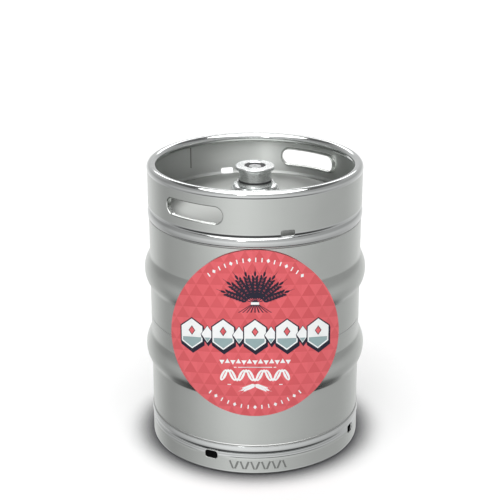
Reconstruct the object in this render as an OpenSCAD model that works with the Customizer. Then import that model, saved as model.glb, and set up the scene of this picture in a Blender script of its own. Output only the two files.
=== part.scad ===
// Stainless-steel beer keg with a flat-faced spear valve.
// The axis of the keg is Z, and the foot ring stands on Z = 0.
// -Y is the front, where the printed label is.

/* [Body] */
// Outer radius of the cylindrical wall
body_r = 194; // [190:1:198]
// Height over the rolled rim
keg_h = 532; // [525:1:540]
// Thickness of the vessel wall
wall = 1.6; // [1.4:0.1:2]
// Height of the weld that joins the two half shells
girth_z = 241; // [232:1:250]
// Corner radius between wall and domed end
knuckle_r = 30; // [26:1:34]
// Height where the wall turns into the top dome
shoulder_z = 428; // [424:1:430]
// Rise of each dome above its corner
dome_rise = 52; // [50:1:52]

/* [Rolling hoops] */
// How far each hoop stands out of the wall
hoop_rise = 10; // [8:0.5:11]
// Radius of the hoop's round section
hoop_arc = 46; // [40:1:50]
// Height of the upper hoop
upper_hoop_z = 331; // [325:1:337]
// Height of the lower hoop
lower_hoop_z = 180; // [175:1:186]

/* [Chimes] */
// Sheet thickness of both collars
chime_t = 2.2; // [2:0.1:2.5]
// Outer radius of the top collar
top_chime_r = 195.2; // [195:0.1:195.6]
// Outer radius of the foot collar
foot_r = 194.6; // [194.4:0.1:195]
// Radius of the rolled top rim
rim_roll = 8.8; // [8:0.1:9.5]
// Radius of the rolled foot
foot_roll = 4.8; // [4.5:0.1:5.2]
// Height of the stiffening bead in the top collar
top_bead_z = 441; // [440:0.5:442]
// Height of the stiffening bead in the foot collar
foot_bead_z = 48.5; // [48:0.5:50]

/* [Handles and drains] */
// Length of a handle slot
slot_w = 120; // [100:1:124]
// Height of a handle slot
slot_h = 30; // [26:1:32]
// Height of the slot's middle
slot_z = 486.5; // [484:0.5:489]
// Angle of the first slot, clockwise from the front
slot_turn = 34; // [0:1:60]
// Depth of the folded grip around a slot
grip_depth = 7; // [4:0.5:9]
// Angle of the first top drain from the front
top_drain_turn = -16.6; // [-30:0.2:-10]
// Angle of the first foot drain from the front
foot_drain_turn = 24; // [20:0.5:30]

/* [Spear valve] */
// Radius of the flange that the tap coupler grips
flange_r = 36; // [35:0.5:38]
// Thickness of that flange
flange_t = 6.5; // [6:0.1:7]
// Depth of the flange's face below the rim
flange_drop = 10.2; // [8:0.1:12]
// Outer radius of the draught tube
tube_r = 8.5; // [8:0.1:9]
// Height of the tube's open end
tube_end_z = 30; // [28:1:40]
// Stroke of the gas valve
gas_travel = 9; // [7:0.5:9]
// Stroke of the beer valve inside it
beer_travel = 6; // [4:0.5:6]

/* [Label] */
// Radius of the round printed sheet
label_r = 148; // [140:1:149]
// Height of its middle
label_z = 277; // [276:0.5:278]
// How far its outline cylinder tips, so that it is round from above
label_tip = 18.5; // [10:0.5:20]
// Thickness of the printed sheet
label_t = 0.6; // [0.5:0.1:0.8]

/* [Hidden] */
$fn = 96;

steel = [0.72, 0.74, 0.73];
weld_grey = [0.55, 0.56, 0.56];
polished = [0.82, 0.83, 0.83];
rubber = [0.12, 0.12, 0.13];
coral = [0.88, 0.38, 0.42];

// The foot dome mirrors the top dome about this height.
foot_shoulder_z = 62;
mirror_z = (shoulder_z + foot_shoulder_z) / 2;

// Both domes: a crown sphere tangent to the corner torus.
knuckle_c = body_r - knuckle_r;
crown_r = (pow(knuckle_c, 2) + pow(dome_rise, 2) - pow(knuckle_r, 2))
    / (2 * (dome_rise - knuckle_r));
crown_c = shoulder_z + dome_rise - crown_r;
crown_angle = atan2(shoulder_z - crown_c, knuckle_c);
neck_hole_r = 33;

// Chime profiles
bead_arc = 28;
top_bead_r = 196.3;
foot_bead_r = 195.8;
groove_r = body_r + 0.3;
chime_lap = 7.8;
edge_cut = 2;
curl_end = 290;

// Drains
top_drain = [25, 11, 456.5];
foot_drain = [25, 14, 32];

// Spear levels, from the top down
flange_z = keg_h - flange_drop;
housing_r = 30;
housing_z = 496;
shank_r = 26.5;
shank_z = 470;
bore_r = 23.5;
lip_t = 4;
mouth_r = 19;
seal_z = flange_z - 10.3;
head_z = seal_z - 13.5;
socket_z = head_z - 10;
cage_z = 428;
cage_top_z = 482;
cage_r = 20.4;
spring_z = cage_z + 3;
neck_top_z = 490.5;
neck_foot_z = 474;

// ---- Outline helpers ----

// Points along an arc about c, from angle a to angle b
function arc(c, r, a, b, n) =
    [for (i = [0:n]) c + r * [cos(a + (b - a) * i / n), sin(a + (b - a) * i / n)]];

function reversed(p) = [for (i = [len(p) - 1:-1:0]) p[i]];

// The same outline turned upside down about a height
function flipped(p, z) = [for (q = p) [q[0], 2 * z - q[1]]];

// One face of a hoop; inset moves it inwards by the wall's thickness
function hoop_face(z, inset) =
    let (
        c = body_r + hoop_rise - hoop_arc,
        r = hoop_arc - inset,
        a = acos((body_r - inset - c) / r)
    ) arc([c, z], r, -a, a, 16);

// One face of the dome, from the wall to the neck hole
function dome_face(inset, hole) = concat(
    arc([knuckle_c, shoulder_z], knuckle_r - inset, 0, crown_angle, 9),
    arc([0, crown_c], crown_r - inset, crown_angle, acos(hole / (crown_r - inset)), 10)
);

// ---- Vessel ----

module half_shell(weld_z, hoop_z, hole) {
    face = function(inset) concat(
        [[body_r - inset, weld_z]],
        hoop_face(hoop_z, inset),
        dome_face(inset, hole)
    );
    rotate_extrude($fn = 180) polygon(concat(face(0), reversed(face(wall))));
}

module upper_shell() {
    color(steel) half_shell(girth_z + 0.6, upper_hoop_z, neck_hole_r);
}

// The lower half is a drawn cup with a closed dome, so its crown is a disc on the axis.
module lower_shell() {
    hoop_z = 2 * mirror_z - lower_hoop_z;
    weld_z = 2 * mirror_z - girth_z + 0.6;
    face = function(inset) concat(
        [[body_r - inset, weld_z]],
        hoop_face(hoop_z, inset),
        dome_face(inset, 0)
    );
    color(steel)
        rotate_extrude($fn = 180)
            polygon(flipped(concat(face(0), reversed(face(wall))), mirror_z));
}

module girth_weld() {
    color(weld_grey)
        rotate_extrude($fn = 180)
            translate([body_r - wall, girth_z - 0.6])
                square([wall + 0.25, 1.2]);
}

// ---- Chimes ----

// A collar's bead and the groove beyond it, as offsets from the bead's height
function bead_face(bead_r, flat_r, inset, lap) =
    let (
        r = bead_arc - inset,
        c = bead_r - bead_arc,
        a = acos((groove_r - inset - c) / r)
    ) concat(
        arc([c, 0], r, -asin(lap / r), a, 12),
        [for (i = [1:6]) [
            groove_r - inset + (flat_r - groove_r) * (1 - cos(30 * i)) / 2,
            r * sin(a) + 3 + 2.2 * i
        ]]
    );

// A whole collar, upright, with its bead at height 0 and its roll ending at top
module collar(bead_r, flat_r, roll, top) {
    curl_c = [flat_r - roll, top - roll + 0.2];
    outer = bead_face(bead_r, flat_r, 0, chime_lap);
    inner = bead_face(bead_r, flat_r, chime_t, chime_lap - edge_cut);
    curl = concat(
        arc(curl_c, roll, 0, curl_end, 29),
        reversed(arc(curl_c, roll - chime_t, 0, curl_end, 29))
    );
    rotate_extrude($fn = 180)
        polygon(concat(
            outer,
            [for (q = curl) [q[0], min(q[1], top)]],
            reversed(inner)
        ));
}

// A rectangle's outline with its corners rounded by arcs
function rounded_outline(w, h, corner) =
    let (x = w / 2 - corner, y = h / 2 - corner) concat(
        arc([x, y], corner, 0, 90, 10),
        arc([-x, y], corner, 90, 180, 10),
        arc([-x, -y], corner, 180, 270, 10),
        arc([x, -y], corner, 270, 360, 10)
    );

// That outline pushed outwards along -Y
module rounded_slot(w, h, corner, depth) {
    rotate([90, 0, 0])
        linear_extrude(depth)
            polygon(rounded_outline(w, h, corner));
}

module handle_slot(extra) {
    rounded_slot(slot_w + 2 * extra, slot_h + 2 * extra, slot_h / 2 + extra - 1, 240);
}

// The sheet's edge folded inwards around a handle slot
module grip() {
    translate([0, 0, slot_z])
        intersection() {
            handle_slot(chime_t);
            translate([0, 0, -40])
                difference() {
                    cylinder(h = 80, r = top_chime_r - chime_t / 2, $fn = 180);
                    translate([0, 0, -1])
                        cylinder(h = 82, r = top_chime_r - chime_t - grip_depth, $fn = 180);
                }
        }
}

module top_chime() {
    color(steel)
        difference() {
            union() {
                translate([0, 0, top_bead_z])
                    collar(top_bead_r, top_chime_r, rim_roll, keg_h - top_bead_z);
                for (side = [0, 180])
                    rotate(side - slot_turn) grip();
            }
            for (side = [0, 180]) {
                rotate(side - slot_turn)
                    translate([0, 0, slot_z]) handle_slot(0);
                rotate(side - top_drain_turn)
                    translate([0, 0, top_drain[2]])
                        rounded_slot(top_drain[0], top_drain[1], 3.5, 240);
            }
        }
}

module bottom_chime() {
    color(steel)
        difference() {
            translate([0, 0, foot_bead_z])
                mirror([0, 0, 1])
                    collar(foot_bead_r, foot_r, foot_roll, foot_bead_z);
            for (side = [0:90:270])
                rotate(side - foot_drain_turn)
                    translate([0, 0, foot_drain[2]])
                        rounded_slot(foot_drain[0], foot_drain[1], 5.5, 240);
        }
}

// The butt weld that closes a rolled collar
module seam(turn, r, z, h) {
    rotate(turn)
        translate([0, r - chime_t / 2, z])
            cylinder(h = h, r = chime_t / 2 + 0.5, $fn = 24);
}

module top_chime_seam() {
    color(weld_grey) seam(40, top_chime_r, 472, 46);
}

module bottom_chime_seam() {
    color(weld_grey) seam(40, foot_r, 12, 12);
}

// The fillet that joins a collar's edge to the shell
module collar_weld(z) {
    rotate_extrude($fn = 180)
        translate([body_r - 1, z])
            circle(2.1, $fn = 48);
}

module top_chime_weld() {
    color(weld_grey) collar_weld(top_bead_z - chime_lap - 1.4);
}

module bottom_chime_weld() {
    color(weld_grey) collar_weld(foot_bead_z + chime_lap + 1.4);
}

// ---- Neck ----

module neck_boss() {
    lug_r = 41;
    base_z = shoulder_z + dome_rise - 0.8;
    color(polished)
        difference() {
            rotate_extrude($fn = 120)
                polygon([
                    [shank_r + 0.2, neck_foot_z],
                    [neck_hole_r - 0.3, neck_foot_z],
                    [neck_hole_r - 0.3, base_z],
                    [lug_r, base_z],
                    [lug_r, base_z + 4.6],
                    [lug_r - 2.2, base_z + 6.8],
                    [housing_r + 2, base_z + 7.8],
                    [housing_r + 1, neck_top_z - 1],
                    [housing_r, neck_top_z],
                    [shank_r + 0.2, neck_top_z]
                ]);
            // Spanner notches around the base
            for (i = [0:5])
                rotate(60 * i + 14)
                    translate([lug_r - 4, -5, base_z + 1.2])
                        cube([10, 10, 10]);
        }
}

module neck_weld() {
    color(weld_grey)
        rotate_extrude($fn = 120)
            translate([41.6, shoulder_z + dome_rise - 1.4])
                circle(1.5, $fn = 32);
}

module lock_ring() {
    color(polished)
        difference() {
            rotate_extrude($fn = 120)
                translate([shank_r + 0.3, neck_top_z + 0.2])
                    square([6, 2.6]);
            rotate(200)
                translate([shank_r - 2, -2.5, neck_top_z - 1])
                    cube([12, 5, 6]);
        }
}

module neck_seal() {
    color(rubber)
        rotate_extrude($fn = 120)
            translate([shank_r + 0.2, neck_top_z + 3])
                square([3.6, housing_z - neck_top_z - 3]);
}

// ---- Spear ----

module spear_housing() {
    color(polished)
        difference() {
            rotate_extrude($fn = 120)
                polygon(concat(
                    [[bore_r, shank_z]],
                    [[shank_r - 1, shank_z]],
                    [[shank_r, shank_z + 1]],
                    [[shank_r, housing_z]],
                    [[housing_r, housing_z]],
                    [[housing_r, flange_z - flange_t]],
                    [[flange_r - 1, flange_z - flange_t]],
                    [[flange_r, flange_z - flange_t + 1]],
                    arc([flange_r - 2.4, flange_z - 2.4], 2.4, 0, 90, 6),
                    [[mouth_r + 0.8, flange_z]],
                    [[mouth_r, flange_z - 0.8]],
                    [[mouth_r, flange_z - lip_t]],
                    [[bore_r, flange_z - lip_t]]
                ));
            // Key slots for the fitting tool
            for (side = [0, 180])
                rotate(side - 20)
                    translate([-4, 26.5, flange_z - 2])
                        cube([8, 4.5, 4]);
        }
}

module gas_seal() {
    color(rubber)
        rotate_extrude($fn = 96)
            polygon([
                [15.3, seal_z],
                [22.4, seal_z],
                [22.4, seal_z + 5.4],
                [21.6, flange_z - lip_t - 0.3],
                [mouth_r - 0.4, flange_z - lip_t - 0.3],
                [mouth_r - 0.4, flange_z - 1.6],
                [mouth_r - 1.2, flange_z - 1],
                [12.4, flange_z - 1.6],
                [12.4, seal_z + 4.6],
                [15.3, seal_z + 4.6]
            ]);
}

module tube_head() {
    color(steel)
        rotate_extrude($fn = 96)
            polygon([
                [tube_r, socket_z],
                [tube_r + 1.6, socket_z],
                [tube_r + 1.6, head_z],
                [18.4, head_z],
                [20, head_z + 1.6],
                [20, seal_z],
                [16.2, seal_z],
                [16.2, head_z + 2.6],
                [tube_r - 1, head_z + 2.6],
                [tube_r - 1, head_z - 1],
                [tube_r, head_z - 1]
            ]);
}

module down_tube() {
    color(steel)
        difference() {
            translate([0, 0, tube_end_z])
                cylinder(h = head_z - 1 - tube_end_z, r = tube_r, $fn = 64);
            translate([0, 0, tube_end_z - 1])
                cylinder(h = head_z + 2 - tube_end_z, r = tube_r - 1, $fn = 64);
            // The open end is notched, so that it can't seal against the sump.
            for (side = [0, 90])
                rotate(side)
                    translate([-2.5, -20, tube_end_z - 1])
                        cube([5, 40, 6]);
        }
}

// A wire wound on a cylinder, with a ring every few degrees
module coil(mean_r, wire_r, turns, height) {
    sides = 8;
    steps = turns * 14;
    ring = [for (k = [0:sides - 1]) wire_r * [cos(360 * k / sides), sin(360 * k / sides)]];
    rise = height - 2 * wire_r;
    points = [
        for (i = [0:steps], q = ring)
            let (a = 360 * turns * i / steps)
            [(mean_r + q[0]) * cos(a), (mean_r + q[0]) * sin(a), wire_r + rise * i / steps + q[1]]
    ];
    side_faces = [
        for (i = [0:steps - 1], k = [0:sides - 1])
            let (n = (k + 1) % sides)
            [i * sides + k, (i + 1) * sides + k, (i + 1) * sides + n, i * sides + n]
    ];
    ends = [
        [for (k = [0:sides - 1]) k],
        [for (k = [sides - 1:-1:0]) steps * sides + k]
    ];
    polyhedron(points, concat(side_faces, ends), convexity = 10);
}

module gas_spring() {
    color(polished)
        translate([0, 0, spring_z + 0.05])
            coil(13.6, 1.1, 7, head_z - spring_z - 0.1);
}

module valve_cage() {
    inner_r = cage_r - 1.6;
    color(steel)
        difference() {
            union() {
                translate([0, 0, cage_z])
                    cylinder(h = cage_top_z - cage_z, r = cage_r, $fn = 96);
                translate([0, 0, cage_top_z - 3])
                    cylinder(h = 3, r = bore_r - 0.1, $fn = 96);
            }
            translate([0, 0, spring_z])
                cylinder(h = 80, r = inner_r, $fn = 96);
            translate([0, 0, cage_z - 1])
                cylinder(h = 6, r = tube_r + 0.7, $fn = 96);
            // Gas windows between four legs
            for (side = [0, 90])
                rotate(side)
                    translate([-9, -30, spring_z + 4])
                        cube([18, 60, 34]);
        }
}

module cage_ring() {
    color(polished)
        difference() {
            translate([0, 0, cage_top_z - 5])
                cylinder(h = 1.8, r = bore_r - 0.05, $fn = 96);
            translate([0, 0, cage_top_z - 6])
                cylinder(h = 4, r = cage_r + 0.2, $fn = 96);
            rotate(70)
                translate([18, -2, cage_top_z - 6])
                    cube([8, 4, 4]);
        }
}

module beer_valve() {
    foot_z = seal_z + 1.4;
    color(polished)
        difference() {
            rotate_extrude($fn = 96)
                polygon([
                    [0, foot_z - 4],
                    [2.4, foot_z - 4],
                    [3, foot_z - 3.4],
                    [3, foot_z],
                    [14.8, foot_z],
                    [14.8, foot_z + 2.8],
                    [12, foot_z + 2.8],
                    [12, flange_z - 2.6],
                    [11.2, flange_z - 1.8],
                    [0, flange_z - 1.8]
                ]);
            translate([0, 0, flange_z - 3.4])
                cylinder(h = 4, r = 1.8, $fn = 32);
        }
}

// Perforated plate that carries the small spring
module spring_plate() {
    color(steel)
        difference() {
            translate([0, 0, head_z + 2.6])
                cylinder(h = 1, r = 16.1, $fn = 96);
            for (i = [0:5])
                rotate(60 * i)
                    translate([5, 0, head_z + 2])
                        cylinder(h = 3, r = 1.9, $fn = 32);
        }
}

module beer_spring() {
    color(polished)
        translate([0, 0, head_z + 3.65])
            coil(9, 0.6, 3, seal_z + 1.4 - head_z - 3.7);
}

// ---- Label ----

// Angle on a hoop where a sheet stretched from point p touches it
function touch_angle(p, c, r) =
    let (d = p - c) atan2(abs(d[1]), d[0]) - acos(r / norm(d));

// The stretched sheet lies on both hoops and runs straight to the wall above and below.
function sheet_face(lift) =
    let (
        r = hoop_arc + 0.1 + lift,
        c = body_r + hoop_rise - hoop_arc,
        top = [body_r + 1.2 + lift, 440],
        foot = [body_r + 0.15 + lift, 110],
        up = [c, upper_hoop_z],
        down = [c, lower_hoop_z]
    ) concat(
        [foot],
        arc(down, r, -touch_angle(foot, down, r), 0, 3),
        arc(up, r, 0, touch_angle(top, up, r), 3),
        [top]
    );

module label() {
    color(coral)
        intersection() {
            rotate_extrude($fn = 180)
                polygon(concat(sheet_face(label_t), reversed(sheet_face(0))));
            translate([0, -body_r - hoop_rise, label_z])
                rotate([90 - label_tip, 0, 0])
                    translate([0, 0, -100])
                        cylinder(h = 220, r = label_r, $fn = 180);
        }
}

upper_shell();
lower_shell();
girth_weld();
top_chime();
top_chime_seam();
top_chime_weld();
bottom_chime();
bottom_chime_seam();
bottom_chime_weld();
neck_boss();
neck_weld();
lock_ring();
neck_seal();
spear_housing();
valve_cage();
cage_ring();
gas_seal();
tube_head();
down_tube();
gas_spring();
beer_valve();
spring_plate();
beer_spring();
label();
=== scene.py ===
import math
from collections import namedtuple

import bpy
import numpy as np
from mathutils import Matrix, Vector
from mathutils.geometry import delaunay_2d_cdt


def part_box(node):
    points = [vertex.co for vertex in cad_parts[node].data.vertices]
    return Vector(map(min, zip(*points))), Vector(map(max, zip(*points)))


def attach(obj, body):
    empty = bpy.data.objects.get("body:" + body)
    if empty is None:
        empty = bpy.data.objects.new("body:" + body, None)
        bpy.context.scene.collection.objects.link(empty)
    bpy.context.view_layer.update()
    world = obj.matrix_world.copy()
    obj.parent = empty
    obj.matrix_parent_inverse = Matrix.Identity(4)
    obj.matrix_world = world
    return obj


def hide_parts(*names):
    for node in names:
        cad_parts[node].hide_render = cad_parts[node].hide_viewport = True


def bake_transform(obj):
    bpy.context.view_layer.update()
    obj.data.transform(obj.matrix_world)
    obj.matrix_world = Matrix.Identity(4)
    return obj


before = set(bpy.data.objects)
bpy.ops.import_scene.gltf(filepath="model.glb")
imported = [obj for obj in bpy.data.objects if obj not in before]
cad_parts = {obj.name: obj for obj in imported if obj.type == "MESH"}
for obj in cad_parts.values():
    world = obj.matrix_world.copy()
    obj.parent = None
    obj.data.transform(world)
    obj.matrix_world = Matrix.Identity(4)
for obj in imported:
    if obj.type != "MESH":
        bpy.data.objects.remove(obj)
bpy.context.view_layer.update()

# ---------------------------------------------------------------------------
# Driving sizes, in metres. Heights and radii come from the CAD nodes' boxes.
# ---------------------------------------------------------------------------

MM = 0.001
COLUMNS = 480                     # segments round the keg

upper_lo, upper_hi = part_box("upper_shell")
lower_lo, lower_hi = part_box("lower_shell")
top_lo, top_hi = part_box("top_chime")
foot_lo, foot_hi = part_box("bottom_chime")
label_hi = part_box("label")[1]

# The vessel's wall, rolling hoops and domed ends
WALL = 1.6 * MM
HOOP_RISE = 10 * MM
HOOP_ARC = 46 * MM
HOOP_FILLET = 9 * MM
BODY_R = upper_hi.x - HOOP_RISE
UPPER_HOOP_Z = 331 * MM
LOWER_HOOP_Z = 180 * MM
KNUCKLE = 30 * MM                 # small arc from the wall into a dome
DOME_RISE = 52 * MM
SHOULDER_Z = upper_hi.z - DOME_RISE
FOOT_SHOULDER_Z = lower_lo.z + DOME_RISE
NECK_HOLE_R = 33 * MM

# The collars. Each laps over the wall, and has a bead, a groove and a rolled edge.
SHEET = 2.2 * MM
LAP = 7.8 * MM
TOP_R = BODY_R + 1.2 * MM
FOOT_R = BODY_R + 0.6 * MM
GROOVE_R = BODY_R - 0.9 * MM
TOP_BEAD_R = top_hi.x
FOOT_BEAD_R = foot_hi.x
TOP_BEAD_Z = top_lo.z + LAP
FOOT_BEAD_Z = foot_hi.z - LAP
BEAD_LOW_ARC = 28 * MM
BEAD_TOP_ARC = 12 * MM
RIM_ROLL = 8.8 * MM
RIM_BULGE = 0.9 * MM
FOOT_ROLL = 4.8 * MM
ROLL_FLAT = 0.2 * MM              # how much of a roll's crest is pressed flat
ROLL_END = 290                    # degrees that a roll's arc ends at
ROW_STEP = 1.1 * MM               # height of a row of faces in a collar's wall

# Holes in the collars: turns are in degrees from the front, positive to the right,
# and the other sizes are width, height and the middle's height.
SLOT_TURN = -34
SLOT = (120 * MM, 30 * MM, 486.5 * MM)
TOP_DRAIN_TURN = 16.6
TOP_DRAIN = (25 * MM, 11 * MM, 456.5 * MM)
FOOT_DRAIN_TURN = -24
FOOT_DRAIN = (25 * MM, 14 * MM, 32 * MM)


# ---------------------------------------------------------------------------
# Outlines: lists of (radius, height)
# ---------------------------------------------------------------------------

def arc(centre, radius, start, end, steps):
    """Points along an arc, with its angles in degrees."""
    angles = np.radians(np.linspace(start, end, steps + 1))
    return [(centre[0] + radius * math.cos(a), centre[1] + radius * math.sin(a)) for a in angles]


def straight(a, b, steps):
    """Points along a line, without its two ends."""
    return [(a[0] + (b[0] - a[0]) * i / steps, a[1] + (b[1] - a[1]) * i / steps)
            for i in range(1, steps)]


def hoop_face(height, inset):
    """One face of a rolling hoop with its root fillets, from below to above."""
    centre = BODY_R + HOOP_RISE - HOOP_ARC
    wall, r, f = BODY_R - inset, HOOP_ARC - inset, HOOP_FILLET + inset
    reach = math.sqrt((r + f) ** 2 - (wall + f - centre) ** 2)
    tip = math.degrees(math.atan2(reach, wall + f - centre))
    low = arc((wall + f, height - reach), f, 180, 180 - tip, 8)
    high = arc((wall + f, height + reach), f, 180 + tip, 180, 8)
    return low + arc((centre, height), r, -tip, tip, 36)[1:-1] + high


def dome_face(shoulder, inset, hole):
    """One face of a domed end, from the wall to the neck hole."""
    inner = BODY_R - KNUCKLE
    crown = (inner ** 2 + DOME_RISE ** 2 - KNUCKLE ** 2) / (2 * (DOME_RISE - KNUCKLE))
    drop = shoulder + DOME_RISE - crown
    turn = math.degrees(math.atan2(shoulder - drop, inner))
    end = math.degrees(math.acos(hole / (crown - inset)))
    return (arc((inner, shoulder), KNUCKLE - inset, 0, turn, 24)
            + arc((0, drop), crown - inset, turn, end, 40)[1:])


def shell_outline(weld, hoop, shoulder, hole):
    """The whole section of one half of the vessel, upright."""
    def face(inset):
        hoop_points = hoop_face(hoop, inset)
        start = (BODY_R - inset, weld)
        dome = dome_face(shoulder, inset, hole)
        return ([start] + straight(start, hoop_points[0], 8) + hoop_points
                + straight(hoop_points[-1], dome[0], 8) + dome)
    return face(0) + face(WALL)[::-1]


def wall_radius(height, bead_r, flat_r):
    """Radius of a collar's outer face at a height above its bead's crest.
    It is the bead, a groove, and a step outwards to the flat wall."""
    if height < 0:
        return bead_r - BEAD_LOW_ARC + math.sqrt(BEAD_LOW_ARC ** 2 - height ** 2)
    centre = bead_r - BEAD_TOP_ARC
    reach = math.sqrt(BEAD_TOP_ARC ** 2 - (GROOVE_R - centre) ** 2)
    if height < reach:
        return centre + math.sqrt(BEAD_TOP_ARC ** 2 - height ** 2)
    groove, step = 0.5 * MM, 6 * MM
    t = min(max((height - reach - groove) / step, 0), 1)
    return GROOVE_R + (flat_r - GROOVE_R) * (3 - 2 * t) * t * t


# ---------------------------------------------------------------------------
# Meshes
# ---------------------------------------------------------------------------

def finish_mesh(name, points, faces, body, replaced=(), sharp=40, polish=None):
    """Makes a smooth-shaded object, and rides it on its body. polish is 0 to 1 for each vertex."""
    mesh = bpy.data.meshes.new(name)
    mesh.from_pydata([tuple(p) for p in points], [], faces)
    mesh.validate()
    if polish is not None:
        mesh.attributes.new("polish", "FLOAT", "POINT").data.foreach_set("value", polish)
    for p in mesh.polygons:
        p.use_smooth = True
    mesh.set_sharp_from_angle(angle=math.radians(sharp))
    piece = bpy.data.objects.new(name, mesh)
    bpy.context.scene.collection.objects.link(piece)
    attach(piece, body)
    if replaced:
        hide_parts(*replaced)
    return piece


def place(turn, radius, height):
    """The point at an angle from the front (radians, positive to the right)."""
    return (radius * math.sin(turn), -radius * math.cos(turn), height)


def lathe(name, outline, replaced=(), columns=COLUMNS, body="keg", sharp=40, upside_down=None):
    """A closed outline turned round the keg's axis."""
    if upside_down is not None:
        outline = [(r, upside_down - z) for r, z in outline][::-1]
    points, rows = [], []
    for r, z in outline:
        if r < 1e-7:
            rows.append([len(points)] * columns)
            points.append((0, 0, z))
            continue
        rows.append(range(len(points), len(points) + columns))
        points += [place(2 * math.pi * k / columns, r, z) for k in range(columns)]
    faces = []
    for i in range(len(rows)):
        low, high = rows[i], rows[(i + 1) % len(rows)]
        if low[0] == low[1] and high[0] == high[1]:
            continue
        for k in range(columns):
            n = (k + 1) % columns
            face = [low[k], low[n], high[n], high[k]]
            faces.append(tuple(dict.fromkeys(face)))
    return finish_mesh(name, points, faces, body, replaced, sharp)


def hole_section(fillet, thickness, depth):
    """The sheet's edge round a hole, from the outer face to the inner face.
    Its points are (distance outside the hole, depth). Where depth is more than the
    sheet's thickness, the edge is folded inwards to that depth."""
    section = arc((fillet, fillet), fillet, 270, 180, 6)
    if depth > thickness:
        half = thickness / 2
        inner = fillet * 0.6
        section += straight((0, fillet), (0, depth - half), 4)
        section += arc((half, depth - half), half, 180, 0, 8)
        section += straight((thickness, depth - half), (thickness, thickness + inner), 3)
        section += arc((thickness + inner, thickness + inner), inner, 180, 270, 5)
    else:
        section += arc((fillet, thickness - fillet), fillet, 180, 90, 6)
    return section


def smooth_step(value, low, high):
    """0 below low, 1 above high, and a smooth rise between them."""
    t = np.clip((value - low) / (high - low), 0, 1)
    return (3 - 2 * t) * t * t


# corner is the radius of a hole's corners, lip how deep its edge is folded in, fillet
# the rounding of that edge, and margin how far the rebuilt patch reaches round it.
Hole = namedtuple("Hole", "turn width height middle corner lip fillet margin")


def collar_levels(holes, creases, roll_start):
    """Heights of the rows of a collar's wall: even, but exact at each patch's border and each crease."""
    marks = {-LAP + 0.4 * MM, roll_start - 0.4 * MM}
    for hole in holes:
        marks |= {round(hole.middle - hole.height / 2 - hole.margin, 6),
                  round(hole.middle + hole.height / 2 + hole.margin, 6)}
    for z, _, half in creases:
        marks |= {round(z + half * i / 2, 6) for i in range(-4, 5)}
    marks = sorted(marks)
    levels = [marks[0]]
    for a, b in zip(marks, marks[1:]):
        count = max(1, round((b - a) / ROW_STEP))
        levels += [a + (b - a) * (i + 1) / count for i in range(count)]
    return levels


def patch_border(hole, levels, flat_r):
    """The first and last row, and the first and last column, of a hole's patch."""
    def row_at(z):
        return int(np.argmin([abs(level - z) for level in levels]))

    first_row = row_at(hole.middle - hole.height / 2 - hole.margin)
    last_row = row_at(hole.middle + hole.height / 2 + hole.margin)
    middle, column = math.radians(hole.turn), 2 * math.pi / COLUMNS
    half_turn = (hole.width / 2 + hole.margin) / flat_r
    first_column = math.floor((middle - half_turn) / column)
    return first_row, last_row, first_column, math.ceil((middle + half_turn) / column)


def hole_rings(points, hole, border, levels, flat_r, outer_r):
    """Adds a hole's points: rings from its patch's border on the outer face, round the sheet's edge,
    and back to the border on the inner face. Returns the rings as lists of vertex numbers."""
    middle = math.radians(hole.turn)
    core = (hole.width / 2 - hole.corner, hole.height / 2 - hole.corner)
    spokes = []
    for i, k in border:
        u, v = (2 * math.pi * k / COLUMNS - middle) * flat_r, levels[i] - hole.middle
        foot = (min(max(u, -core[0]), core[0]), min(max(v, -core[1]), core[1]))
        away = (u - foot[0], v - foot[1])
        size = math.hypot(*away)
        spokes.append(((u, v), foot, (away[0] / size, away[1] / size)))

    def ring_at(distance, sink, share=None):
        start = len(points)
        for (u, v), foot, normal in spokes:
            reach = hole.corner + distance
            q = (foot[0] + reach * normal[0], foot[1] + reach * normal[1])
            if share is not None:
                q = (q[0] + (u - q[0]) * share, q[1] + (v - q[1]) * share)
            z = hole.middle + q[1]
            points.append(place(middle + q[0] / flat_r, outer_r(z) - sink, z))
        return list(range(start, start + len(spokes)))

    section = hole_section(hole.fillet, SHEET, hole.lip)
    rings = [ring_at(section[0][0], 0, share) for share in (0.75, 0.5, 0.25)]
    rings += [ring_at(distance, sink) for distance, sink in section]
    return rings + [ring_at(section[-1][0], SHEET, share) for share in (0.25, 0.5, 0.75)]


def press_creases(x, y, z, holes, creases, flat_r):
    """Pushes pressed lines into a collar's wall. They fade out beside the holes."""
    turn = np.arctan2(x, -y)
    near = np.full_like(turn, math.pi)
    for hole in holes:
        away = np.abs((turn - math.radians(hole.turn) + math.pi) % (2 * math.pi) - math.pi)
        near = np.minimum(near, away - (hole.width / 2 + hole.margin) / flat_r)
    fade = smooth_step(near, 0.01, 0.16)
    push = sum(depth * np.exp(-((z - at) / half) ** 2) for at, depth, half in creases) * fade
    share = 1 - push / np.hypot(x, y)
    return x * share, y * share


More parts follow.
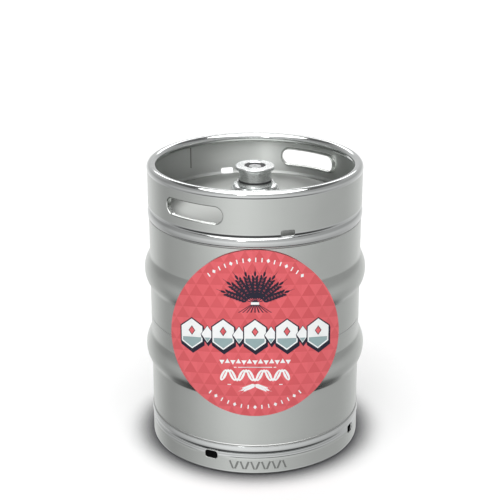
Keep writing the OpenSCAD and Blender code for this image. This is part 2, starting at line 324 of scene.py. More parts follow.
def collar(name, bead_r, flat_r, roll, top, holes, replaced, flip=None, creases=(), bulge=0.0):
    """A rolled collar with its bead at height 0 and its roll ending at top.
    flip: the bead's height on the keg, for a collar that is upside down.
    creases: (height, depth, half width) of the pressed lines.
    bulge: how far the roll stands out from the wall."""
    lean = math.degrees(math.acos(1 - bulge / roll))
    centre = (flat_r - roll + bulge, top - roll + ROLL_FLAT)
    roll_start = centre[1] - roll * math.sin(math.radians(lean))
    levels = collar_levels(holes, creases, roll_start)

    def outer_r(z):
        return wall_radius(z, bead_r, flat_r)

    outer = [(outer_r(z), z) for z in levels]
    inner = [(outer_r(z) - SHEET, z) for z in levels]
    start = -lean + 3
    curl = arc(centre, roll, start, ROLL_END, 64)
    tip = (centre[0] + (roll - SHEET / 2) * math.cos(math.radians(ROLL_END)),
           centre[1] + (roll - SHEET / 2) * math.sin(math.radians(ROLL_END)))
    lip = arc(tip, SHEET / 2, ROLL_END, ROLL_END + 180, 8)[1:-1]
    back = arc(centre, roll - SHEET, ROLL_END, start, 54)
    rolled = [(r, min(z, top)) for r, z in curl + lip + back]
    cut_edge = [(inner[0][0] + 0.3 * MM, levels[0] + 1.0 * MM),
                (outer[0][0] - 0.5 * MM, levels[0] - 0.4 * MM)]
    inner_wall = [p for p in inner if p[1] > levels[0] + 2 * MM]
    outline = outer + rolled + inner_wall[::-1] + cut_edge
    points = [place(2 * math.pi * k / COLUMNS, r, z) for r, z in outline for k in range(COLUMNS)]

    def vertex(row, k):
        return row * COLUMNS + k % COLUMNS

    def inner_row(i):
        """The outline's row on the inner face, at the height of an outer row."""
        return len(outer) + len(rolled) + len(inner) - 1 - i

    skip, patches = set(), []
    for hole in holes:
        i0, i1, k0, k1 = patch_border(hole, levels, flat_r)
        skip |= {(i, k % COLUMNS) for k in range(k0, k1) for i in range(i0, i1)}
        skip |= {(inner_row(i + 1), k % COLUMNS) for k in range(k0, k1) for i in range(i0, i1)}
        patches.append((hole, [(i0, k) for k in range(k0, k1)] + [(i, k1) for i in range(i0, i1)]
                        + [(i1, k) for k in range(k1, k0, -1)] + [(i, k0) for i in range(i1, i0, -1)]))

    faces, inside = [], []
    for row in range(len(outline)):
        up = (row + 1) % len(outline)
        for k in range(COLUMNS):
            if (row, k) not in skip:
                inside.append(row >= len(outer) + len(curl) + len(lip))
                faces.append((vertex(row, k), vertex(row, k + 1), vertex(up, k + 1), vertex(up, k)))
    for hole, border in patches:
        rings = [[vertex(i, k) for i, k in border]]
        rings += hole_rings(points, hole, border, levels, flat_r, outer_r)
        rings.append([vertex(inner_row(i), k) for i, k in border])
        for i, (a, b) in enumerate(zip(rings, rings[1:])):
            for j in range(len(border)):
                n = (j + 1) % len(border)
                inside.append(i >= len(rings) - 5)
                faces.append((a[j], a[n], b[n], b[j]))

    x, y, z = np.array(points).T
    if creases:
        x, y = press_creases(x, y, z, holes, creases, flat_r)
    bead_polish = 1 - smooth_step(z, 14 * MM, 17 * MM)
    polish = np.maximum(bead_polish, smooth_step(z, roll_start - 2 * MM, roll_start))
    if flip is not None:
        z, faces = flip - z, [f[::-1] for f in faces]
    else:
        z = z + TOP_BEAD_Z
    piece = finish_mesh(name, np.stack([x, y, z], -1), faces, "keg", replaced, polish=polish)
    # Faces on the inner side take the second material, whose lighter tint is painted light.
    piece.data.polygons.foreach_set("material_index", [int(i) for i in inside])
    return piece


# ---------------------------------------------------------------------------
# Materials
# ---------------------------------------------------------------------------

class Nodes:
    """A short way to write a node tree."""

    def __init__(self, name="", tree=None):
        if tree is None:
            self.material = bpy.data.materials.new(name)
            self.material.use_nodes = True
            tree = self.material.node_tree
            self.shader = tree.nodes["Principled BSDF"]
        self.tree = tree

    def add(self, kind, inputs=None, **settings):
        node = self.tree.nodes.new(kind)
        for key, value in settings.items():
            setattr(node, key, value)
        for key, value in (inputs or {}).items():
            self.link(node, key, value)
        return node

    def link(self, node, key, value):
        if isinstance(value, bpy.types.NodeSocket):
            self.tree.links.new(value, node.inputs[key])
        else:
            node.inputs[key].default_value = value

    def math(self, operation, a, b=0.0, clamp=False):
        node = self.add("ShaderNodeMath", {0: a, 1: b}, operation=operation)
        node.use_clamp = clamp
        return node.outputs[0]

    def noise(self, vector, scale, detail=2.0, rough=0.5):
        node = self.add("ShaderNodeTexNoise",
                        {"Vector": vector, "Scale": scale, "Detail": detail, "Roughness": rough})
        return node.outputs["Fac"]

    def spread(self, value, low, high):
        """Maps 0..1 to low..high."""
        node = self.add("ShaderNodeMapRange", {"Value": value, "To Min": low, "To Max": high})
        return node.outputs["Result"]

    def mix(self, factor, a, b):
        node = self.add("ShaderNodeMix", {"Factor": factor}, data_type="RGBA")
        self.link(node, 6, a)
        self.link(node, 7, b)
        return node.outputs[2]

    def by_degrees(self, value, stops, blend):
        """Maps an angle from -180 to 180 to greys, smoothly through (angle, grey) stops."""
        node = self.add("ShaderNodeValToRGB", {0: self.math("ADD", self.math("DIVIDE", value, 360.0), 0.5)})
        ramp = node.color_ramp
        ramp.interpolation = blend
        ramp.elements[0].position = stops[0][0] / 360 + 0.5
        ramp.elements[1].position = stops[-1][0] / 360 + 0.5
        for at, _ in stops[1:-1]:
            ramp.elements.new(at / 360 + 0.5)
        for element, (_, grey) in zip(ramp.elements, stops):
            element.color = (grey, grey, grey, 1)
        return node.outputs[0]

    def place(self):
        return self.add("ShaderNodeTexCoord").outputs["Object"]

    def round_place(self):
        """(arc length, radius, height) round the keg's axis, with its join at the back."""
        parts = self.add("ShaderNodeSeparateXYZ", {0: self.place()})
        back = self.math("MULTIPLY", parts.outputs[1], -1.0)
        turn = self.math("ARCTAN2", parts.outputs[0], back)
        level = self.add("ShaderNodeVectorMath", {0: self.place(), 1: (1, 1, 0)}, operation="MULTIPLY")
        radius = self.add("ShaderNodeVectorMath", {0: level.outputs[0]}, operation="LENGTH")
        return self.math("MULTIPLY", turn, BODY_R), radius.outputs["Value"], parts.outputs[2]

    def bump(self, height, strength, distance):
        node = self.add("ShaderNodeBump", {"Height": height, "Strength": strength, "Distance": distance})
        self.link(self.shader, "Normal", node.outputs[0])


BRIGHT = (0.74, 0.765, 0.74)      # satin steel
POLISH = (0.80, 0.82, 0.815, 1)   # steel rubbed bright by handling
# Dark grey that painted shade on the domes mixes their colour towards.
DOME_SHADE_GREY = (0.05, 0.048, 0.045, 1)


def shade(tint, share):
    """A tint made lighter or darker, as a colour with alpha."""
    return tuple(min(c * share, 1) for c in tint) + (1,)


def steel(name, tint, rough, grain=0.05, anisotropy=0.0, blotch=0.05, polishable=False, painted_dome_shade=False):
    """Stainless steel with fine rings of grain round the keg's axis, faint clouds and a few rub marks.
    polishable steel is brighter and smoother where the mesh's polish is 1.
    The domes can be given painted shade: their colour is darkened all over the lower dome and on the upper
    dome, most towards the gaps behind the collars, and where shaded they are rougher too."""
    m = Nodes(name)
    arc_place, radius, height = m.round_place()
    grain_place = m.add("ShaderNodeCombineXYZ", {0: arc_place, 1: radius, 2: height}).outputs[0]
    ring_place = m.add("ShaderNodeMapping", {0: grain_place, "Scale": (14, 600, 1500)}).outputs[0]
    rub_place = m.add("ShaderNodeMapping", {0: grain_place, "Scale": (30, 60, 260)}).outputs[0]
    fine = m.noise(ring_place, 1.0, 4.0, 0.65)
    clouds = m.noise(m.place(), 9.0, 3.0, 0.55)
    specks = m.noise(m.place(), 900.0, 2.0, 0.6)
    rubs = m.math("GREATER_THAN", m.noise(rub_place, 1.0), 0.72)

    colour = m.mix(clouds, shade(tint, 1 - 2 * blotch), shade(tint, 1 + blotch))
    colour = m.mix(m.math("MULTIPLY", fine, 0.25), colour, shade(tint, 0.85))
    value = m.math("ADD", m.spread(fine, rough - 0.05, rough + 0.05), m.spread(clouds, -0.04, 0.04))
    value = m.math("SUBTRACT", value, m.math("MULTIPLY", rubs, 0.04))
    if polishable:
        polish = m.add("ShaderNodeAttribute", attribute_name="polish").outputs["Fac"]
        colour = m.mix(polish, colour, POLISH)
        value = m.math("MULTIPLY", value, m.math("SUBTRACT", 1.0, m.math("MULTIPLY", polish, 0.62)))
    # Painted shade on the domes: their colour is mixed towards dark grey, and their roughness is raised.
    if painted_dome_shade:
        top = m.math("GREATER_THAN", height, SHOULDER_Z + 8 * MM)
        bottom = m.math("LESS_THAN", height, FOOT_SHOULDER_Z - 8 * MM)
        outwards = m.add("ShaderNodeMapRange", {
            "Value": radius, "From Min": BODY_R - 42 * MM, "From Max": BODY_R - 16 * MM, "To Min": 0.7})
        dome_shade_and_dullness = m.math("ADD", m.math("MULTIPLY", top, outwards.outputs["Result"]), bottom, clamp=True)
        colour = m.mix(m.math("MULTIPLY", dome_shade_and_dullness, 0.75), colour, DOME_SHADE_GREY)
        value = m.math("ADD", value, m.math("MULTIPLY", dome_shade_and_dullness, 0.2))

    m.link(m.shader, "Base Color", colour)
    m.link(m.shader, "Roughness", value)
    m.shader.inputs["Metallic"].default_value = 1.0
    if anisotropy:
        m.shader.inputs["Anisotropic"].default_value = anisotropy
        m.shader.inputs["Anisotropic Rotation"].default_value = 0.25
        tangent = m.add("ShaderNodeTangent", direction_type="RADIAL", axis="Z")
        m.link(m.shader, "Tangent", tangent.outputs[0])
    m.bump(m.math("ADD", fine, m.math("MULTIPLY", specks, 0.5)), grain, 0.2 * MM)
    return m.material


def rubber():
    """Matt black rubber with fine specks."""
    m = Nodes("black_rubber")
    speck = m.noise(m.place(), 1200.0, 3.0)
    m.link(m.shader, "Base Color", m.mix(speck, (0.018, 0.018, 0.02, 1), (0.045, 0.045, 0.048, 1)))
    m.link(m.shader, "Roughness", m.spread(speck, 0.45, 0.7))
    m.bump(speck, 0.3, 0.2 * MM)
    return m.material


SATIN = steel("satin_steel", BRIGHT, 0.24, anisotropy=0.35)
# The vessel's domes carry painted shade.
VESSEL = steel("vessel_steel", BRIGHT, 0.24, anisotropy=0.35, painted_dome_shade=True)
CHIME = steel("chime_steel", BRIGHT, 0.24, anisotropy=0.35, polishable=True)
# The collars' inner faces: the same sheet as the outer faces, with a lighter tint than the satin steel
# outside, which is painted light. Their higher roughness and anisotropy are their own.
INSIDE_PAINTED_LIGHTER = steel("inside_steel_painted_lighter", (0.84, 0.86, 0.84), 0.46, anisotropy=0.93)
TURNED = steel("turned_steel", (0.84, 0.86, 0.855), 0.27, anisotropy=0.35, blotch=0.02)
POLISHED = steel("polished_steel", (0.86, 0.875, 0.875), 0.15, anisotropy=0.2, blotch=0.02)
# Dark grey steel for the pressed bars: painted shade that stands in for the shadow lines round a pressed
# relief.
STAMP_PAINTED_DARK = steel("stamped_steel_painted_shade", (0.33, 0.34, 0.33), 0.34, grain=0.1)
SEAM = steel("seam_steel", (0.22, 0.20, 0.19), 0.38, grain=0.3, blotch=0.1)
WELD = steel("weld_steel", (0.59, 0.60, 0.59), 0.36, grain=0.3, blotch=0.1)
RUBBER = rubber()


def paint(piece, *materials):
    """Gives a piece its materials. Faces keep their material numbers."""
    numbers = [p.material_index for p in piece.data.polygons]
    piece.data.materials.clear()
    for m in materials:
        piece.data.materials.append(m)
    piece.data.polygons.foreach_set("material_index", numbers)


# ---------------------------------------------------------------------------
# The keg. Its vessel, collars and label are rebuilt, its springs are copies of their CAD coils, and the other
# CAD nodes keep their shapes.
# ---------------------------------------------------------------------------

upper = lathe("vessel_upper", shell_outline(upper_lo.z, UPPER_HOOP_Z, SHOULDER_Z, NECK_HOLE_R),
              ["upper_shell"])
paint(upper, VESSEL)

# The lower half is drawn upright with a closed dome, then turned over
mirror = SHOULDER_Z + FOOT_SHOULDER_Z
lower = lathe("vessel_lower", shell_outline(mirror - lower_hi.z, mirror - LOWER_HOOP_Z, SHOULDER_Z, 0),
              ["lower_shell"], upside_down=mirror)
paint(lower, VESSEL)

handle_slots = [Hole(SLOT_TURN + side, SLOT[0], SLOT[1], SLOT[2] - TOP_BEAD_Z,
                     corner=SLOT[1] / 2, lip=9 * MM, fillet=2.4 * MM, margin=6 * MM) for side in (0, 180)]
top_drains = [Hole(TOP_DRAIN_TURN + side, TOP_DRAIN[0], TOP_DRAIN[1], TOP_DRAIN[2] - TOP_BEAD_Z,
                   corner=3.5 * MM, lip=0, fillet=0.6 * MM, margin=3 * MM) for side in (0, 180)]
foot_drains = [Hole(FOOT_DRAIN_TURN + side, FOOT_DRAIN[0], FOOT_DRAIN[1], FOOT_BEAD_Z - FOOT_DRAIN[2],
                    corner=5.5 * MM, lip=0, fillet=0.6 * MM, margin=3 * MM) for side in (0, 90, 180, 270)]

paint(collar("collar_top", TOP_BEAD_R, TOP_R, RIM_ROLL, top_hi.z - TOP_BEAD_Z, handle_slots + top_drains,
             ["top_chime"], bulge=RIM_BULGE), CHIME, INSIDE_PAINTED_LIGHTER)
paint(collar("collar_foot", FOOT_BEAD_R, FOOT_R, FOOT_ROLL, FOOT_BEAD_Z - foot_lo.z, foot_drains,
             ["bottom_chime"], flip=FOOT_BEAD_Z,
             creases=[(9.5 * MM, 0.25 * MM, 1.2 * MM), (16 * MM, 0.45 * MM, 1.6 * MM)]), CHIME, INSIDE_PAINTED_LIGHTER)


def pressed_mark(turn, height, count, pitch, width, tall, rise):
    """A row of plain raised bars that lean left and right in turn, like a pressed zigzag."""
    sink, slope = 0.6 * MM, (0.5 * MM, -0.2 * MM)
    points, faces = [], []
    for i in range(count):
        middle = (i - (count - 1) / 2) * pitch
        lean = 0.32 * pitch * (1 if i % 2 else -1)
        for radius, grow in ((FOOT_R - sink, slope[0]), (FOOT_R + rise, slope[1])):
            for side, end in ((-1, -1), (1, -1), (1, 1), (-1, 1)):
                across = middle + end * lean + side * (width / 2 + grow)
                up = height + end * (tall / 2 + grow)
                points.append(place(math.radians(turn) + across / FOOT_R, radius, up))
        a = i * 8
        faces += [(a + j, a + (j + 1) % 4, a + 4 + (j + 1) % 4, a + 4 + j) for j in range(4)]
        faces += [(a + 3, a + 2, a + 1, a), (a + 4, a + 5, a + 6, a + 7)]
    return finish_mesh("pressed_mark", points, faces, "keg", sharp=30)


# The pressed bars are painted dark grey, as painted shade.
paint(pressed_mark(turn=1.5, height=19 * MM, count=11, pitch=9.6 * MM, width=3.2 * MM, tall=16 * MM,
                   rise=0.7 * MM), STAMP_PAINTED_DARK)

for node, material in (
        ("girth_weld", WELD), ("top_chime_seam", SEAM), ("top_chime_weld", WELD),
        ("bottom_chime_seam", SEAM), ("bottom_chime_weld", WELD), ("neck_weld", WELD),
        ("neck_boss", TURNED), ("lock_ring", POLISHED), ("neck_seal", RUBBER),
        ("spear_housing", TURNED), ("valve_cage", SATIN), ("cage_ring", POLISHED),
        ("gas_seal", RUBBER), ("tube_head", SATIN), ("down_tube", SATIN),
        ("beer_valve", POLISHED), ("spring_plate", SATIN)):
    paint(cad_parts[node], material)


def compressing_spring(name, node):
    """A copy of a spring's CAD coil in polished steel, which takes the place of the CAD node."""
    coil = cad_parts[node]
    piece = bpy.data.objects.new(name, coil.data.copy())
    piece.matrix_world = coil.matrix_world
    bpy.context.scene.collection.objects.link(piece)
    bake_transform(piece)
    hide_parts(node)
    paint(piece, POLISHED)


compressing_spring("gas_spring_coil", "gas_spring")
compressing_spring("beer_spring_coil", "beer_spring")

# ---------------------------------------------------------------------------
# The printed label. Its artwork is drawn in millimetres on the label's own plane:
# a to the right and b up, from its middle.
# ---------------------------------------------------------------------------

LABEL_R = label_hi.x
LABEL_Z = 277 * MM
LABEL_TIP = math.radians(18.5)
LABEL_T = 0.6 * MM
LINE_OF_SIGHT = Vector((0, math.cos(LABEL_TIP), -math.sin(LABEL_TIP)))
PLANE_UP = Vector((0, math.sin(LABEL_TIP), math.cos(LABEL_TIP)))
LABEL_MIDDLE = Vector((0, -BODY_R - HOOP_RISE, LABEL_Z))


def touch_angle(point, centre, radius):
    """Angle on a hoop where a sheet stretched from a point touches it."""
    dr, dz = point[0] - centre[0], abs(point[1] - centre[1])
    return math.degrees(math.atan2(dz, dr) - math.acos(radius / math.hypot(dr, dz)))


def stretched_sheet():
    """Heights and radii of the label's outer face: straight from hoop to hoop, and down to the wall."""
    radius = HOOP_ARC + 0.1 * MM + LABEL_T
    centre = BODY_R + HOOP_RISE - HOOP_ARC
    foot = (BODY_R + 0.15 * MM + LABEL_T, 110 * MM)
    top = (BODY_R + 1.2 * MM + LABEL_T, 440 * MM)
    down, up = (centre, LOWER_HOOP_Z), (centre, UPPER_HOOP_Z)
    line = ([foot] + arc(down, radius, -touch_angle(foot, down, radius), 0, 6)
            + arc(up, radius, 0, touch_angle(top, up, radius), 6) + [top])
    heights = np.linspace(foot[1] - 30 * MM, top[1] + 30 * MM, 800)
    radii = np.interp(heights, [z for _, z in line], [r for r, _ in line])
    slope_low = (line[1][0] - foot[0]) / (line[1][1] - foot[1])
    slope_top = (top[0] - line[-2][0]) / (top[1] - line[-2][1])
    radii = np.where(heights < foot[1], foot[0] + (heights - foot[1]) * slope_low, radii)
    radii = np.where(heights > top[1], top[0] + (heights - top[1]) * slope_top, radii)
    window = np.hanning(41)
    return heights, np.convolve(np.pad(radii, 20, mode="edge"), window / window.sum(), "valid")


SHEET_HEIGHTS, SHEET_RADII = stretched_sheet()


def on_label(a, b, sink=0.0):
    """Points on the label's face, or sunk below it, seen along the line of sight from the label's plane."""
    start_y = LABEL_MIDDLE.y + b * PLANE_UP.y
    start_z = LABEL_MIDDLE.z + b * PLANE_UP.z
    near, far = np.full_like(a, -0.06), np.full_like(a, 0.16)
    for _ in range(40):
        s = (near + far) / 2
        y, z = start_y + s * LINE_OF_SIGHT.y, start_z + s * LINE_OF_SIGHT.z
        outside = np.hypot(a, y) > np.interp(z, SHEET_HEIGHTS, SHEET_RADII) - sink
        near, far = np.where(outside, s, near), np.where(outside, far, s)
    return np.stack([a, y, z], -1)


def turned(points, centre, turn):
    """Points turned by degrees and moved to a centre."""
    t = math.radians(turn)
    return [(centre[0] + x * math.cos(t) - y * math.sin(t), centre[1] + x * math.sin(t) + y * math.cos(t))
            for x, y in points]


def polygon(centre, radius, sides, turn=0.0, squeeze=1.0):
    """A regular polygon, made narrower by squeeze. With many sides it is an ellipse."""
    angles = [2 * math.pi * i / sides for i in range(sides)]
    return turned([(radius * squeeze * math.cos(a), radius * math.sin(a)) for a in angles], centre, turn)


def bar(centre, width, height, turn=0.0):
    x, y = width / 2, height / 2
    return turned([(-x, -y), (x, -y), (x, y), (-x, y)], centre, turn)


def hull(points):
    """Convex outline of some points, anticlockwise."""
    points = sorted(set(points))

    def half(order):
        out = []
        for p in order:
            while len(out) > 1 and ((out[-1][0] - out[-2][0]) * (p[1] - out[-2][1])
                                    - (out[-1][1] - out[-2][1]) * (p[0] - out[-2][0])) <= 0:
                out.pop()
            out.append(p)
        return out[:-1]
    return half(points) + half(points[::-1])


def below(shape, level):
    """The part of a convex outline under a level."""
    out = []
    for p, q in zip(shape, shape[1:] + shape[:1]):
        if p[1] <= level:
            out.append(p)
        if (p[1] <= level) != (q[1] <= level):
            t = (level - p[1]) / (q[1] - p[1])
            out.append((p[0] + (q[0] - p[0]) * t, level))
    return out


def barley_ear(root, turn, length, ear, ink, size=1.0):
    """A stalk with two rows of grains and its awns along the last part, ear; turn is degrees from upright."""
    t = math.radians(turn)
    along, across = (math.sin(t), math.cos(t)), (math.cos(t), -math.sin(t))

    def at(up, side):
        return (root[0] + up * along[0] + side * across[0], root[1] + up * along[1] + side * across[1])

    stalk = [at(0, -0.7 * size), at(0, 0.7 * size), at(length, 0.4 * size), at(length, -0.4 * size)]
    shapes = [(ink, stalk)]
    rows, grain, slim = 7, 4.0 * size, 0.42
    for i in range(rows):
        up = length - ear + ear * i / rows
        for side in (-1, 1):
            shapes.append((ink, polygon(at(up, side * 2.7 * size), grain, 12, -turn - side * 24, slim)))
            shapes.append((ink, [at(up + 2 * size, side * 3.6 * size), at(up + 3 * size, side * 4.2 * size),
                                 at(up + 13 * size, side * 7.4 * size)]))
    shapes.append((ink, polygon(at(length + 1 * size, 0), 4.2 * size, 12, -turn, slim)))
    shapes.append((ink, [at(length + 3 * size, -0.5 * size), at(length + 3 * size, 0.5 * size),
                         at(length + 14 * size, 0)]))
    return shapes


def sheaf():
    """Nine ears of barley that fan out from a tie, with their stems below it."""
    shapes = []
    tie, stem_foot = 56, 40
    for i in range(9):
        turn = (i - 4) * 17.5
        shapes += barley_ear((0, tie), turn, 50 + 0.10 * abs(turn), 38, "navy_ink", 1.15)
        foot = -turn * 0.40
        shapes.append(("navy_ink", [(1.0, tie + 2), (-1.0, tie + 2), (foot - 1.1, stem_foot),
                                    (foot + 1.1, stem_foot)]))
    shapes.append(("white_ink", bar((0, tie), 14, 4.6)))
    return shapes


def badges():
    """A row of five hexagons and four diamonds, white above and grey below, each with a navy shadow."""
    shapes = []
    pitch, split = 27.5, -6.0
    for i in range(9):
        a = (i - 4) * pitch
        wide = i % 2 == 0
        size, sides, squeeze = (27, 6, 0.80) if wide else (15, 4, 0.72)
        body = [(a + (x - a) * squeeze, y) for x, y in polygon((a, 0), size, sides, 90)]
        rim = [(a + (x - a) * 1.11, y * 1.09) for x, y in body]
        shapes.append(("navy_ink", hull(rim + [(x + 1.5, y - 5.5) for x, y in rim])))
        shapes.append(("white_ink", body))
        inset = [(a + (x - a) * 0.88, y * 0.90) for x, y in body]
        shapes.append(("grey_ink", below(inset, split)))
        if wide:
            shapes.append(("navy_ink", polygon((a, 6), 8.6, 4, 0, 0.7)))
            shapes.append(("base", polygon((a, 6), 6.6, 4, 0, 0.7)))
    return shapes


def ornaments():
    """Under the badges: a row of triangles, a broken line, a chain of leaves and two small ears."""
    shapes = []
    triangles, line, chain, ears = -47.5, -57.5, -72, -88
    for i in range(13):
        shapes.append(("white_ink", polygon(((i - 6) * 9.6, triangles), 5.4, 3, 90 if i % 2 else -90)))
    for side in (-1, 1):
        shapes.append(("white_ink", bar((side * 34.5, line), 4.5, 1.5)))
        shapes.append(("white_ink", bar((side * 45, ears - 1), 6, 1.5)))
        shapes += barley_ear((side * -3, ears), side * 113, 26, 19, "white_ink", 0.8)
    shapes.append(("white_ink", bar((0, line), 59, 1.5)))
    for i in range(8):
        a = (i - 3.5) * 15.6
        lean = 26 if i % 2 else -26
        shapes.append(("white_ink", polygon((a, chain), 11.2, 20, lean, 0.42)))
        shapes.append(("base", bar((a, chain), 1.3, 15, lean)))
        if i:
            shapes.append(("white_ink", polygon((a - 7.8, chain + (8 if i % 2 else -8)), 3.4, 4, 0, 0.8)))
    return shapes


def ring_of_marks(sign, count, start, end):
    """Bars and diamonds along the label's edge, over the top (sign 1) or under the foot (sign -1)."""
    shapes = []
    radius = 131
    for i in range(count):
        turn = start + (end - start) * i / (count - 1)
        t = math.radians(turn)
        spot, tilt = (radius * math.sin(t), sign * radius * math.cos(t)), -sign * turn
        mark = polygon(spot, 3.9, 4, tilt, 0.8) if i % 3 == 1 else bar(spot, 2.1, 7.4, tilt)
        shapes.append(("white_ink", mark))
    return shapes


def artwork():
    """Generic art, as (ink, outline). Later shapes cover earlier ones."""
    return (sheaf() + badges() + ornaments() + ring_of_marks(1, 17, -37, 38)
            + ring_of_marks(-1, 15, -37, 37))


def printed_label():
    """One closed sheet; its face is divided along the artwork's outlines, so that each ink is crisp."""
    inks = ["base", "navy_ink", "white_ink", "grey_ink"]
    edge_count, grid = 288, 6.0
    radius = LABEL_R / MM
    points = [Vector(p) for p in polygon((0, 0), radius, edge_count)]
    outlines, owners = [list(range(edge_count))], ["base"]
    for ink, shape in artwork():
        area = sum(p[0] * q[1] - q[0] * p[1] for p, q in zip(shape, shape[1:] + shape[:1]))
        shape = shape if area > 0 else shape[::-1]
        outlines.append(list(range(len(points), len(points) + len(shape))))
        points += [Vector(p) for p in shape]
        owners.append(ink)
    steps = int(radius / grid)
    for i in range(-steps, steps + 1):
        for j in range(-steps, steps + 1):
            p = Vector((i * grid + (j % 2) * grid / 2, j * grid * 0.9))
            if p.length < radius - 3:
                points.append(p)
    flat, _, faces, _, _, origins = delaunay_2d_cdt(points, [], outlines, 1, 1e-4, True)
    a = np.array([p[0] for p in flat]) * MM
    b = np.array([p[1] for p in flat]) * MM
    front, back = on_label(a, b), on_label(a, b, LABEL_T)
    n = len(flat)
    rim = {}
    for f in faces:
        for p, q in zip(f, f[1:] + f[:1]):
            rim[(p, q)] = rim.get((p, q), 0) + 1
    edge = [(p, q) for p, q in rim if (q, p) not in rim]
    all_faces = ([tuple(f) for f in faces] + [tuple(v + n for v in f[::-1]) for f in faces]
                 + [(q, p, p + n, q + n) for p, q in edge])
    piece = finish_mesh("printed_label", np.concatenate([front, back]), all_faces, "keg",
                        ["label"])
    mesh = piece.data
    plane = mesh.uv_layers.new(name="Print")
    for loop in mesh.loops:
        v = loop.vertex_index % n
        plane.data[loop.index].uv = (a[v] / MM / 300 + 0.5, b[v] / MM / 300 + 0.5)
    for ink in inks:
        mesh.materials.append(printed(ink))
    for i, ids in enumerate(origins):
        mesh.polygons[i].material_index = inks.index(owners[max(ids)]) if ids else 0
    return piece


CORAL, CORAL_DARK = (0.75, 0.128, 0.147, 1), (0.63, 0.086, 0.098, 1)
CORAL_PAPER = (0.665, 0.102, 0.118, 1)
INKS = {"navy_ink": (0.012, 0.011, 0.030), "white_ink": (0.86, 0.88, 0.88), "grey_ink": (0.29, 0.40, 0.41)}
TRIANGLE_W, TRIANGLE_H = 24.2, 19.8


def coral(m, paper):
    """The base ink: a faint pattern of triangles, each with its own tone."""
    parts = m.add("ShaderNodeSeparateXYZ", {0: m.add("ShaderNodeUVMap", uv_map="Print").outputs[0]})
    row_at = m.math("MULTIPLY", parts.outputs[1], 300 / TRIANGLE_H)
    row = m.math("FLOOR", row_at)
    up = m.math("FRACT", row_at)
    shift = m.math("FRACT", m.math("MULTIPLY", row, 0.5))
    across = m.math("ADD", m.math("MULTIPLY", parts.outputs[0], 300 / TRIANGLE_W), shift)
    column = m.math("FLOOR", across)
    side = m.math("SUBTRACT", m.math("FRACT", across), 0.5)
    reach = m.math("MULTIPLY", m.math("ABSOLUTE", side), 2.0)
    inside = m.math("LESS_THAN", reach, m.math("SUBTRACT", 1.0, up))
    key = m.add("ShaderNodeCombineXYZ", {0: column, 1: row, 2: inside}).outputs[0]
    chance = m.add("ShaderNodeTexWhiteNoise", {"Vector": key}).outputs["Value"]
    tone = m.math("ADD", m.math("MULTIPLY", chance, 0.3), m.math("MULTIPLY", inside, 0.7), clamp=True)
    return m.mix(m.math("MULTIPLY", paper, 0.12), m.mix(tone, CORAL, CORAL_DARK), CORAL_PAPER)


def printed(ink):
    """Satin vinyl print in one ink."""
    m = Nodes("label_" + ink)
    paper = m.noise(m.place(), 1500.0, 2.0)
    if ink == "base":
        colour = coral(m, paper)
    else:
        colour = m.mix(m.math("MULTIPLY", paper, 0.2), shade(INKS[ink], 1), shade(INKS[ink], 0.88))
    m.link(m.shader, "Base Color", colour)
    m.link(m.shader, "Roughness", m.spread(paper, 0.42, 0.52))
    m.shader.inputs["Specular IOR Level"].default_value = 0.35
    m.bump(paper, 0.08, 0.1 * MM)
    return m.material


printed_label()

# ---------------------------------------------------------------------------
# Floor, light and camera
# ---------------------------------------------------------------------------

def floor():
    """A pale matt floor with a painted contact shadow: an ambient occlusion node darkens its colour close to
    the keg. The steel doesn't reflect it.
    """
    mesh = bpy.data.meshes.new("floor")
    reach = 12
    mesh.from_pydata([(-reach, -reach, 0), (reach, -reach, 0), (reach, reach, 0), (-reach, reach, 0)],
                     [], [(0, 1, 2, 3)])
    piece = bpy.data.objects.new("floor", mesh)
    bpy.context.scene.collection.objects.link(piece)
    m = Nodes("studio_floor")
    # Painted contact shadow: the floor's colour darkens where ambient occlusion finds the keg close by.
    painted_contact_shadow = m.add("ShaderNodeAmbientOcclusion", {"Distance": 0.075}, samples=12).outputs["AO"]
    shade = m.add("ShaderNodeMapRange", {"Value": painted_contact_shadow, "From Min": 0.50, "From Max": 0.96},
                  interpolation_type="SMOOTHSTEP").outputs["Result"]
    m.link(m.shader, "Base Color", m.mix(shade, (0.10, 0.10, 0.105, 1), (0.90, 0.90, 0.90, 1)))
    m.shader.inputs["Roughness"].default_value = 0.9
    m.shader.inputs["Specular IOR Level"].default_value = 0.0
    paint(piece, m.material)
    piece.visible_glossy = False


def softbox(name, turn, distance, height, width, tall, power):
    """An area light that faces the keg's middle."""
    light = bpy.data.lights.new(name, "AREA")
    light.shape = "RECTANGLE"
    light.size, light.size_y = width, tall
    light.energy = power
    piece = bpy.data.objects.new(name, light)
    angle = math.radians(turn)
    piece.location = place(angle, distance, height)
    target = Vector((0, 0, 0.28))
    piece.rotation_euler = (target - piece.location).to_track_quat("-Z", "Y").to_euler()
    bpy.context.scene.collection.objects.link(piece)


def daylight(name, turn, elevation, strength, spread):
    """A very soft sun, so that the floor is lit evenly."""
    light = bpy.data.lights.new(name, "SUN")
    light.energy = strength
    light.angle = math.radians(spread)
    piece = bpy.data.objects.new(name, light)
    up = math.radians(elevation)
    toward = Vector(place(math.radians(turn), math.cos(up), math.sin(up)))
    piece.rotation_euler = toward.to_track_quat("Z", "Y").to_euler()
    bpy.context.scene.collection.objects.link(piece)


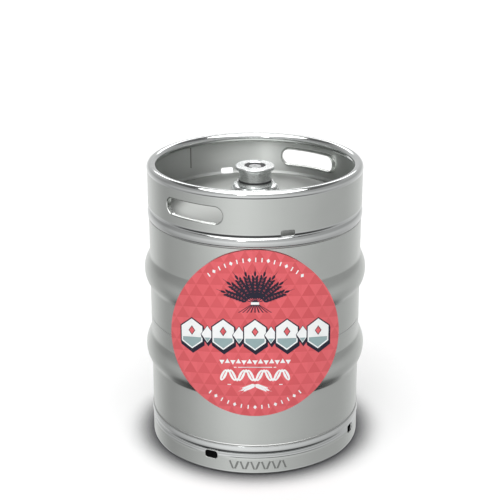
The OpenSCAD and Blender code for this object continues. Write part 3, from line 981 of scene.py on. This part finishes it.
def surroundings():
    """A studio's light by direction: white below the horizon in front, greyer at the sides and low down,
    dark higher up, and a window behind. Where the camera looks past the keg it is plain white."""
    world = bpy.data.worlds.new("studio")
    world.use_nodes = True
    world.node_tree.nodes.clear()
    w = Nodes(tree=world.node_tree)
    parts = w.add("ShaderNodeSeparateXYZ", {0: w.add("ShaderNodeTexCoord").outputs["Generated"]})
    height = w.math("MULTIPLY", w.math("ARCSINE", parts.outputs[2]), 180 / math.pi)
    forward = w.math("MULTIPLY", parts.outputs[1], -1.0)
    turn = w.math("MULTIPLY", w.math("ARCTAN2", parts.outputs[0], forward), 180 / math.pi)
    wall_by_height = w.by_degrees(height, [
        (-90, 0.08), (-58, 0.09), (-47, 0.22), (-39, 0.80), (-30, 0.86), (-20, 1.0), (-8, 1.0), (10, 0.70),
        (34, 0.70), (44, 0.25), (56, 0.25), (68, 0.50), (90, 0.50)], "EASE")
    wall_by_turn = w.by_degrees(turn, [
        (-180, 1.0), (-145, 0.85), (-115, 0.50), (-95, 0.50), (-70, 0.63), (-45, 0.83), (-20, 1.0),
        (5, 0.91), (30, 0.78), (60, 0.65), (90, 0.58), (120, 0.62), (150, 0.85), (180, 1.0)], "CARDINAL")
    window_by_height = w.by_degrees(height, [
        (-90, 0), (21, 0), (25, 1), (36, 1), (41, 0), (90, 0)], "EASE")
    window_by_turn = w.by_degrees(turn, [
        (-180, 1), (-166, 1), (-148, 0), (148, 0), (166, 1), (180, 1)], "EASE")
    window = w.math("MULTIPLY", w.math("MULTIPLY", window_by_height, window_by_turn), 3.6)
    light = w.math("MAXIMUM", w.math("MULTIPLY", wall_by_height, wall_by_turn), window)
    lit = w.add("ShaderNodeBackground", {"Color": light, "Strength": 0.87})
    seen = w.add("ShaderNodeBackground", {"Color": (1, 1, 1, 1), "Strength": 1.05})
    mix = w.add("ShaderNodeMixShader", {0: w.add("ShaderNodeLightPath").outputs["Is Camera Ray"],
                                        1: lit.outputs[0], 2: seen.outputs[0]})
    w.add("ShaderNodeOutputWorld", {0: mix.outputs[0]})
    bpy.context.scene.world = world


def camera():
    """A long lens, shifted down a little so that the keg stands low in the frame."""
    data = bpy.data.cameras.new("camera")
    data.lens = 90.0
    data.sensor_width = 36
    data.shift_x = -0.0101
    data.shift_y = -0.10
    data.clip_end = 60
    piece = bpy.data.objects.new("camera", data)
    piece.location = (0, -2.173, 1.163)
    piece.rotation_euler = (math.pi / 2 - 0.315, 0, 0)
    bpy.context.scene.collection.objects.link(piece)
    bpy.context.scene.camera = piece


floor()
surroundings()
softbox("front_strip", -14, 2.6, 1.9, 0.35, 1.2, 5.4)
daylight("soft_sun", -8, 76, 2.7, 72)
camera()
bpy.context.scene.view_settings.view_transform = "Standard"
